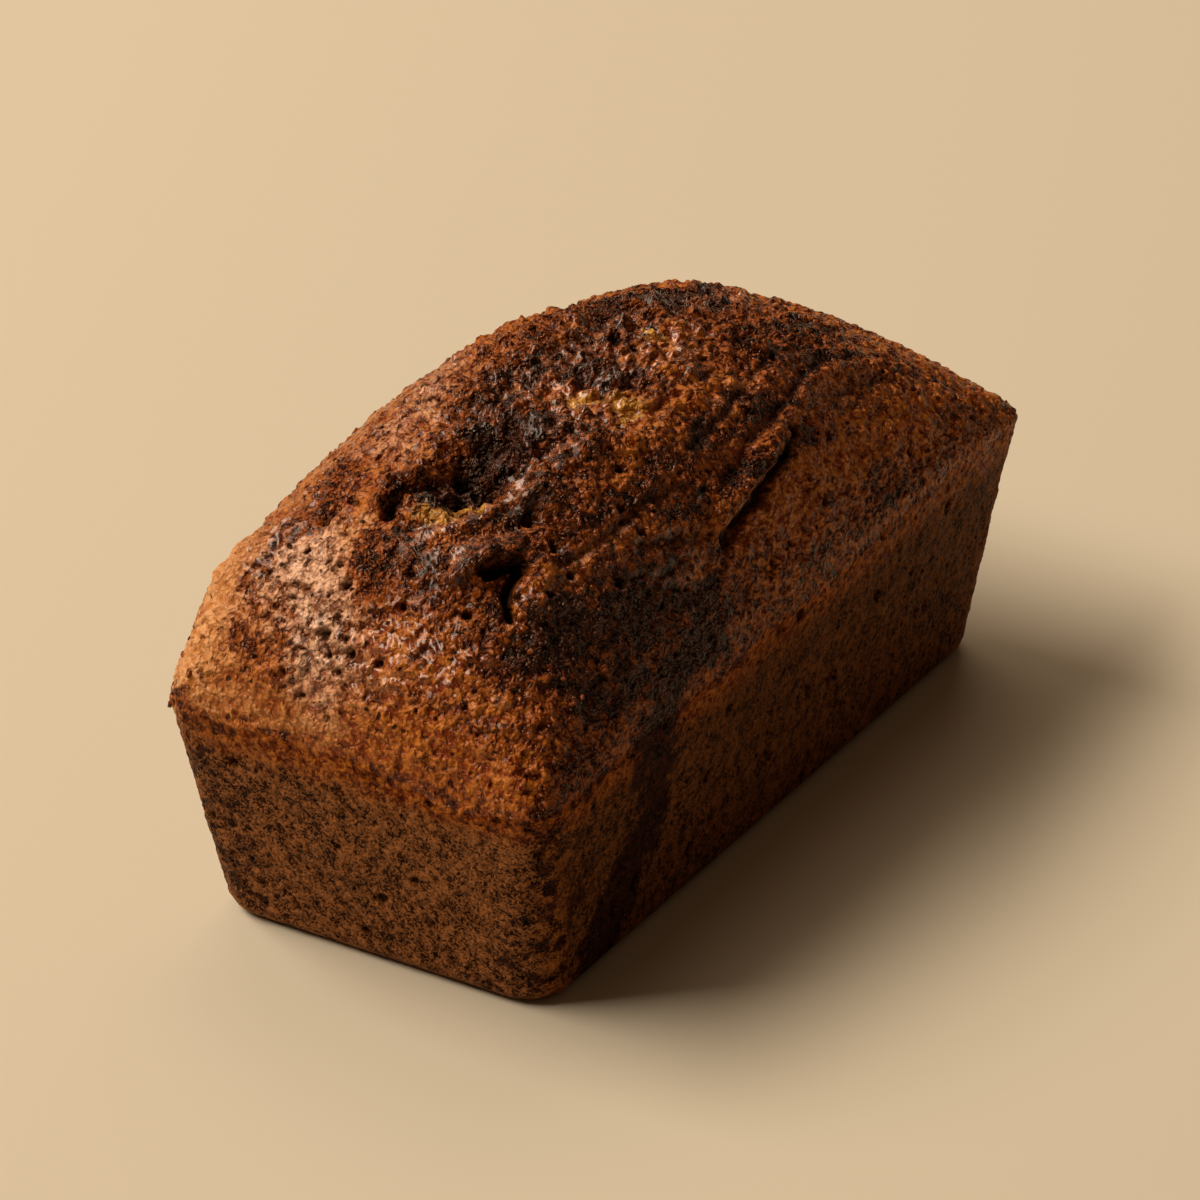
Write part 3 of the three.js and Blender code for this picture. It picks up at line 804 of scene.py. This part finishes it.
# Painted shade: pits, tear gaps and deep relief darken towards the hollow tone.
hollow = (pit_shade + gap_shade) * inside_rim + smooth_step(-relief, *DEEP_RELIEF_SHADE)
crown_masks["hollow"] = np.clip(hollow, 0, 1)
sway = rim_sway(crown_points)
crown_points = crown_points + outward(crown_points) * push[..., None]
crown_points[..., :2] += edge_lean * inside_rim[..., None]
crown_points[..., 2] += sway

CROWN_CRUST = baked_crust("crown_crust", shine=0.3)
for number in range(3):
    strip = slice(CROWN_COLUMNS * number // 3, CROWN_COLUMNS * (number + 1) // 3 + 1)
    strip_masks = {mask_name: values[strip] for mask_name, values in crown_masks.items()}
    crown = grid_piece("cake_crown_%d" % (number + 1), crown_points[strip], strip_masks)
    crown.data.materials.append(CROWN_CRUST)

# ----------------------------------------
# The sides: crust that set against the tin, tapered, fine-pored and duller than the crown.
# The upright edges and the lower edge are rounded as the tin's are. The chocolate runs down
# the -Y side below the swirl, and bubbles left small pits.

SIDE_ROWS = 100

# The share of the climb from floor to rim that goes round the lower edge.
EDGE_SHARE = 0.07

# Single pits of the near end, place and radius, and the pits all over the sides.
SIDE_PITS = [
    (-78.3, -3, 38.2, 0.9), (-78.3, -4.6, 38.0, 0.8), (-78.3, -1.4, 38.4, 0.8), (-74.5, -3, 14, 1.1),
    (-76.8, 2, 30, 1.0), (-75.5, -10, 20, 0.8), (-76.6, -22, 29, 0.9), (-76.8, 18, 27, 0.8),
]
# The darkness of these pits is painted shade, as on the crown.
SIDE_BUBBLES = {"size": 3.4, "share": 0.06, "in_ash": 0, "seed": 63, "depth": 0.8, "dark": 0.85}
SIDE_SPECKS = {"size": 1.6, "share": 0.1, "in_ash": 0, "seed": 64, "depth": 0.35, "dark": 0.5}

# How far below the rim, as shares of the climb, pits, the tin's own crust and its press fade in.
PIT_FADE, TIN_FADE, PRESS_FADE = 0.03, 0.2, 0.1

# The share of the unevenness that the tin pressed flat, and the noise that frays the edge of the
# tin's own crust: reach in shares of the climb, size and seed.
TIN_PRESS, TIN_FRAYING = 0.25, (0.05, 3, 65)

# Where the ends give way to the sides, going round an upright edge.
END_TO_SIDE = (-0.12, 0.1)

# What is left of each mask against the tin. Chocolate loses a little where it is weak.
KEPT_BY_TIN = {"gloss": 0, "ash": 0, "light_crust": 0.2, "open_crumb": 0}
CHOCOLATE_LOSS, STRONG_CHOCOLATE = 0.3, (0.6, 0.9)


def side_points(s, t, climb):
    """The sides: a quarter circle of the lower edge's radius, then a straight climb to the rim."""
    turn = np.clip(climb / EDGE_SHARE, 0, 1) * np.pi / 2
    wall = np.clip((climb - EDGE_SHARE) / (1 - EDGE_SHARE), 0, 1)
    rim = RIM_HEIGHT + RIM_RISE * s / 2
    height = BASE_EDGE * (1 - np.cos(turn)) + (rim - BASE_EDGE) * wall
    inset = BASE_EDGE * (1 - np.sin(turn))
    share = height / rim
    half_length = (BASE_LENGTH + (RIM_LENGTH - BASE_LENGTH) * share) / 2 - inset
    half_width = (BASE_WIDTH + (RIM_WIDTH - BASE_WIDTH) * share) / 2 - inset
    corner = BASE_CORNER + (RIM_CORNER - BASE_CORNER) * share - inset
    x, y = plan_place(s, t, half_length, half_width, corner)
    return np.stack([x, y, height], axis=-1)


TIN_CRUST = baked_crust("tin_crust", shine=0.06)
side_edges = {
    "cake_side_right": (s_steps, -np.ones(CROWN_COLUMNS + 1)),
    "cake_end_far": (np.ones(CROWN_ROWS + 1), t_steps),
    "cake_side_left": (s_steps[::-1], np.ones(CROWN_COLUMNS + 1)),
    "cake_end_near": (-np.ones(CROWN_ROWS + 1), t_steps[::-1]),
}
foot_rings = []
for side_name, (edge_s, edge_t) in side_edges.items():
    side_s, climb = np.meshgrid(edge_s, np.linspace(0, 1, SIDE_ROWS + 1), indexing="ij")
    side_t = np.repeat(edge_t[:, None], SIDE_ROWS + 1, axis=1)
    surface = side_points(side_s, side_t, climb)
    side_masks = crust_colour_masks(surface)
    pit_depth, pit_shade = pitted(surface, side_masks["ash"], SIDE_BUBBLES, SIDE_SPECKS, SIDE_PITS)
    below_rim = smooth_step(1 - climb, 0, PIT_FADE)
    pressed = TIN_PRESS * smooth_step(1 - climb, 0, PRESS_FADE)
    side_push = (1 - pressed) * baked_unevenness(surface) - pit_depth * below_rim
    sway = rim_sway(surface)
    against_tin = smooth_step(1 - climb + rippled(surface, *TIN_FRAYING), 0, TIN_FADE)
    surface = surface + outward(surface) * side_push[..., None]
    surface[..., 2] += sway
    # Painted shade in the pits of the sides.
    side_masks["hollow"] = pit_shade * below_rim
    towards_end = np.abs(surface[..., 0]) / (RIM_LENGTH / 2) - np.abs(surface[..., 1]) / (RIM_WIDTH / 2)
    side_masks["tin_end"] = against_tin * smooth_step(towards_end, *END_TO_SIDE)
    # The long sides take the darker tin tones: painted shade, on crust that is the same all round.
    side_masks["tin_side_shaded"] = against_tin - side_masks["tin_end"]
    for mask_name, kept in KEPT_BY_TIN.items():
        side_masks[mask_name] *= 1 - (1 - kept) * against_tin
    weak = 1 - smooth_step(side_masks["chocolate"], *STRONG_CHOCOLATE)
    side_masks["chocolate"] -= CHOCOLATE_LOSS * against_tin * weak
    side = grid_piece(side_name, surface, side_masks)
    side.data.materials.append(TIN_CRUST)
    foot_rings.append(surface[:-1, 0, :])

# ----------------------------------------
# The underside: flat crust that stood on the tin's floor. It closes the ring at the foot of
# the sides, and carries the same fine-pored brown crust.

UNDERSIDE_RINGS = 14

# Half the length of the line that the rings shrink to, and how close points weld.
SPINE_HALF, WELD_DISTANCE = 40.0, 0.02

foot = np.concatenate(foot_rings)
spine = np.zeros(foot.shape)
spine[:, 0] = np.clip(foot[:, 0], -SPINE_HALF, SPINE_HALF)
inward = np.linspace(1, 0, UNDERSIDE_RINGS + 1)[None, :, None]
underside_points = spine[:, None, :] + (foot - spine)[:, None, :] * inward
underside_points[..., 2] = 0.0
underside_masks = crust_colour_masks(underside_points)
underside_masks["tin_side_shaded"] = np.ones(underside_points.shape[:2])
underside = grid_piece("cake_underside", underside_points, underside_masks, closed=True)
underside.data.materials.append(TIN_CRUST)
underside_mesh = bmesh.new()
underside_mesh.from_mesh(underside.data)
bmesh.ops.remove_doubles(underside_mesh, verts=underside_mesh.verts, dist=WELD_DISTANCE * MM)
bmesh.ops.recalc_face_normals(underside_mesh, faces=underside_mesh.faces)
underside_mesh.normal_update()
if sum(face.normal.z * face.calc_area() for face in underside_mesh.faces) > 0:
    bmesh.ops.reverse_faces(underside_mesh, faces=underside_mesh.faces)
underside_mesh.to_mesh(underside.data)
underside_mesh.free()

# ----------------------------------------
# Crumbs: small flakes that came loose from the crust and stuck to it again, some golden and
# some chocolate. Each is a flattened uneven lump, sunk about half way into the crown.

CRUMB_COUNT, CRUMB_SEED = 260, 81

# The least and greatest radius, and those of length, width and thickness as shares of the
# radius. Corners are pushed in and out by up to this share.
CRUMB_RADII = (0.22, 0.75)
CRUMB_SHAPES = (0.8, 0.6, 0.45), (1.4, 1.0, 0.8)
CRUMB_LUMPINESS = 0.25

# The share of crumbs that are chocolate, how much chocolate they and the others have, and gloss.
CHOCOLATE_CRUMBS, CRUMB_CHOCOLATE = 0.45, (0.7, 0.2)
CRUMB_GLOSS = 0.5

# Columns and rows of the crown's grid that stay free of crumbs at each edge.
FREE_COLUMNS, FREE_ROWS = 6, 8

# Larger flakes: place in plan and radius.
STUCK_FLAKES = [
    (-78, 31, 0.9), (-79, 34.5, 0.8), (-3, -35.6, 1.1), (-60, 12, 0.7), (14, 24, 0.8), (52, 16, 0.7),
]


def crumb_ball():
    """A ball of radius 1: an octahedron, each of its 8 faces split in 4, its corners at length 1."""
    corners = np.array([(1, 0, 0), (-1, 0, 0), (0, 1, 0), (0, -1, 0), (0, 0, 1), (0, 0, -1)], float)
    upper = [(0, 2, 4), (2, 1, 4), (1, 3, 4), (3, 0, 4)]
    lower = [(2, 0, 5), (1, 2, 5), (3, 1, 5), (0, 3, 5)]
    faces = np.array(upper + lower)
    edges = np.sort(np.concatenate([faces[:, [0, 1]], faces[:, [1, 2]], faces[:, [2, 0]]]), axis=1)
    pairs, where = np.unique(edges, axis=0, return_inverse=True)
    middles = corners[pairs].mean(axis=1)
    middles /= np.linalg.norm(middles, axis=1, keepdims=True)
    ab, bc, ca = 6 + where.reshape(3, 8)
    a, b, c = faces.T
    quarters = np.array([(a, ab, ca), (ab, b, bc), (ca, bc, c), (ab, bc, ca)])
    return np.concatenate([corners, middles]), quarters.transpose(0, 2, 1).reshape(-1, 3)


crumb_draw = np.random.default_rng(CRUMB_SEED)
crumb_column = crumb_draw.integers(FREE_COLUMNS, CROWN_COLUMNS - FREE_COLUMNS, CRUMB_COUNT)
crumb_row = crumb_draw.integers(FREE_ROWS, CROWN_ROWS - FREE_ROWS, CRUMB_COUNT)
small_to_large = crumb_draw.uniform(0, 1, CRUMB_COUNT) ** 3
crumb_radius = CRUMB_RADII[0] + (CRUMB_RADII[1] - CRUMB_RADII[0]) * small_to_large
for number, (x, y, radius) in enumerate(STUCK_FLAKES):
    away = np.abs(crown_plan[1:-1, 1:-1] - (x, y)).sum(axis=-1)
    nearest = np.unravel_index(np.argmin(away), away.shape)
    crumb_column[number], crumb_row[number] = nearest[0] + 1, nearest[1] + 1
    crumb_radius[number] = radius
along = crown_points[crumb_column + 1, crumb_row] - crown_points[crumb_column - 1, crumb_row]
across = crown_points[crumb_column, crumb_row + 1] - crown_points[crumb_column, crumb_row - 1]
upward = np.cross(along, across)
crumb_axes = np.stack([along, np.cross(upward, along), upward], axis=1)
crumb_axes /= np.linalg.norm(crumb_axes, axis=2, keepdims=True)
ball, ball_faces = crumb_ball()
crumb_sizes = crumb_radius[:, None] * crumb_draw.uniform(*CRUMB_SHAPES, (CRUMB_COUNT, 3))
lumpy = 1 + crumb_draw.uniform(-CRUMB_LUMPINESS, CRUMB_LUMPINESS, (CRUMB_COUNT, len(ball), 1))
crumb_points = np.einsum("nvk,nkd->nvd", ball * lumpy * crumb_sizes[:, None, :], crumb_axes)
crumb_points += crown_points[crumb_column, crumb_row][:, None, :]
crumb_faces = (ball_faces + len(ball) * np.arange(CRUMB_COUNT)[:, None, None]).reshape(-1, 3)
crumb_chocolate = np.where(crumb_draw.uniform(0, 1, CRUMB_COUNT) < CHOCOLATE_CRUMBS, *CRUMB_CHOCOLATE)
crumb_masks = {
    "chocolate": np.repeat(crumb_chocolate, len(ball)),
    "gloss": np.full(CRUMB_COUNT * len(ball), CRUMB_GLOSS),
}
crumbs = crust_piece("cake_crumbs", crumb_points, crumb_faces, crumb_masks)
crumbs.data.materials.append(CROWN_CRUST)

# ----------------------------------------
# The studio: a plain pale floor, a large soft light over the loaf's +Y side, a weaker one from
# the -Y side and a faint even fill. The camera looks along the loaf from above its near end.

FLOOR_HALF = 3.0
FLOOR_LOOK = {"Base Color": (0.64, 0.615, 0.507, 1), "Roughness": 0.9, "Specular IOR Level": 0.1}
FILL_LOOK = {"Color": (1.0, 0.55, 0.29, 1), "Strength": 0.075}

floor_mesh = bpy.data.meshes.new("floor")
floor_corners = np.array([(-1, -1, 0), (1, -1, 0), (1, 1, 0), (-1, 1, 0)]) * FLOOR_HALF
floor_mesh.from_pydata(floor_corners, [], [(0, 1, 2, 3)])
floor = bpy.data.objects.new("floor", floor_mesh)
bpy.context.scene.collection.objects.link(floor)
floor_paint = bpy.data.materials.new("floor_paint")
floor_paint.use_nodes = True
for socket_name, value in FLOOR_LOOK.items():
    floor_paint.node_tree.nodes["Principled BSDF"].inputs[socket_name].default_value = value
floor_mesh.materials.append(floor_paint)

# The camera's azimuth, elevation, distance and aim, and the focal length in the photo's pixels.
CAMERA_PLACE = -58.75, 28.36, 1.0654, (0.05038, 0.03254, 0.0)
CAMERA_SENSOR, PHOTO_WIDTH_PX, FOCAL_PX = 36.0, 1200.0, 6000.0

# Lights: name, azimuth, elevation, width and height in metres, watts and colour.
LIGHTS = [
    ("key_light", -156.0, 50.0, 2.7, 1.0, 115.0, (1.0, 0.804, 0.622)),
    ("back_light", 125.0, 53.0, 1.9, 1.9, 20.0, (1.0, 0.75, 0.527)),
]
LIGHT_DISTANCE, LIGHT_AIM = 3.0, (0, 0, 0.04)


def placed_facing(data, azimuth, elevation, distance, aim):
    """A camera or light that faces an aim from an azimuth (0 is -Y) and elevation, in degrees."""
    a, e = math.radians(azimuth), math.radians(elevation)
    way = np.array([math.sin(a) * math.cos(e), -math.cos(a) * math.cos(e), math.sin(e)])
    placed = bpy.data.objects.new(data.name, data)
    placed.location = way * distance + aim
    placed.rotation_euler = (math.pi / 2 - e, 0.0, a)
    bpy.context.scene.collection.objects.link(placed)
    return placed


camera_data = bpy.data.cameras.new("camera")
camera_data.sensor_width = CAMERA_SENSOR
camera_data.lens = CAMERA_SENSOR * FOCAL_PX / PHOTO_WIDTH_PX
camera_data.clip_start = 0.05
bpy.context.scene.camera = placed_facing(camera_data, *CAMERA_PLACE)

for light_name, azimuth, elevation, width, height, watts, colour in LIGHTS:
    light = bpy.data.lights.new(light_name, "AREA")
    light.shape = "RECTANGLE"
    light.size, light.size_y = width, height
    light.energy, light.color = watts, colour
    placed_facing(light, azimuth, elevation, LIGHT_DISTANCE, LIGHT_AIM)

world = bpy.data.worlds.new("studio")
world.use_nodes = True
for socket_name, value in FILL_LOOK.items():
    world.node_tree.nodes["Background"].inputs[socket_name].default_value = value
bpy.context.scene.world = world
bpy.context.scene.view_settings.view_transform = "Standard"
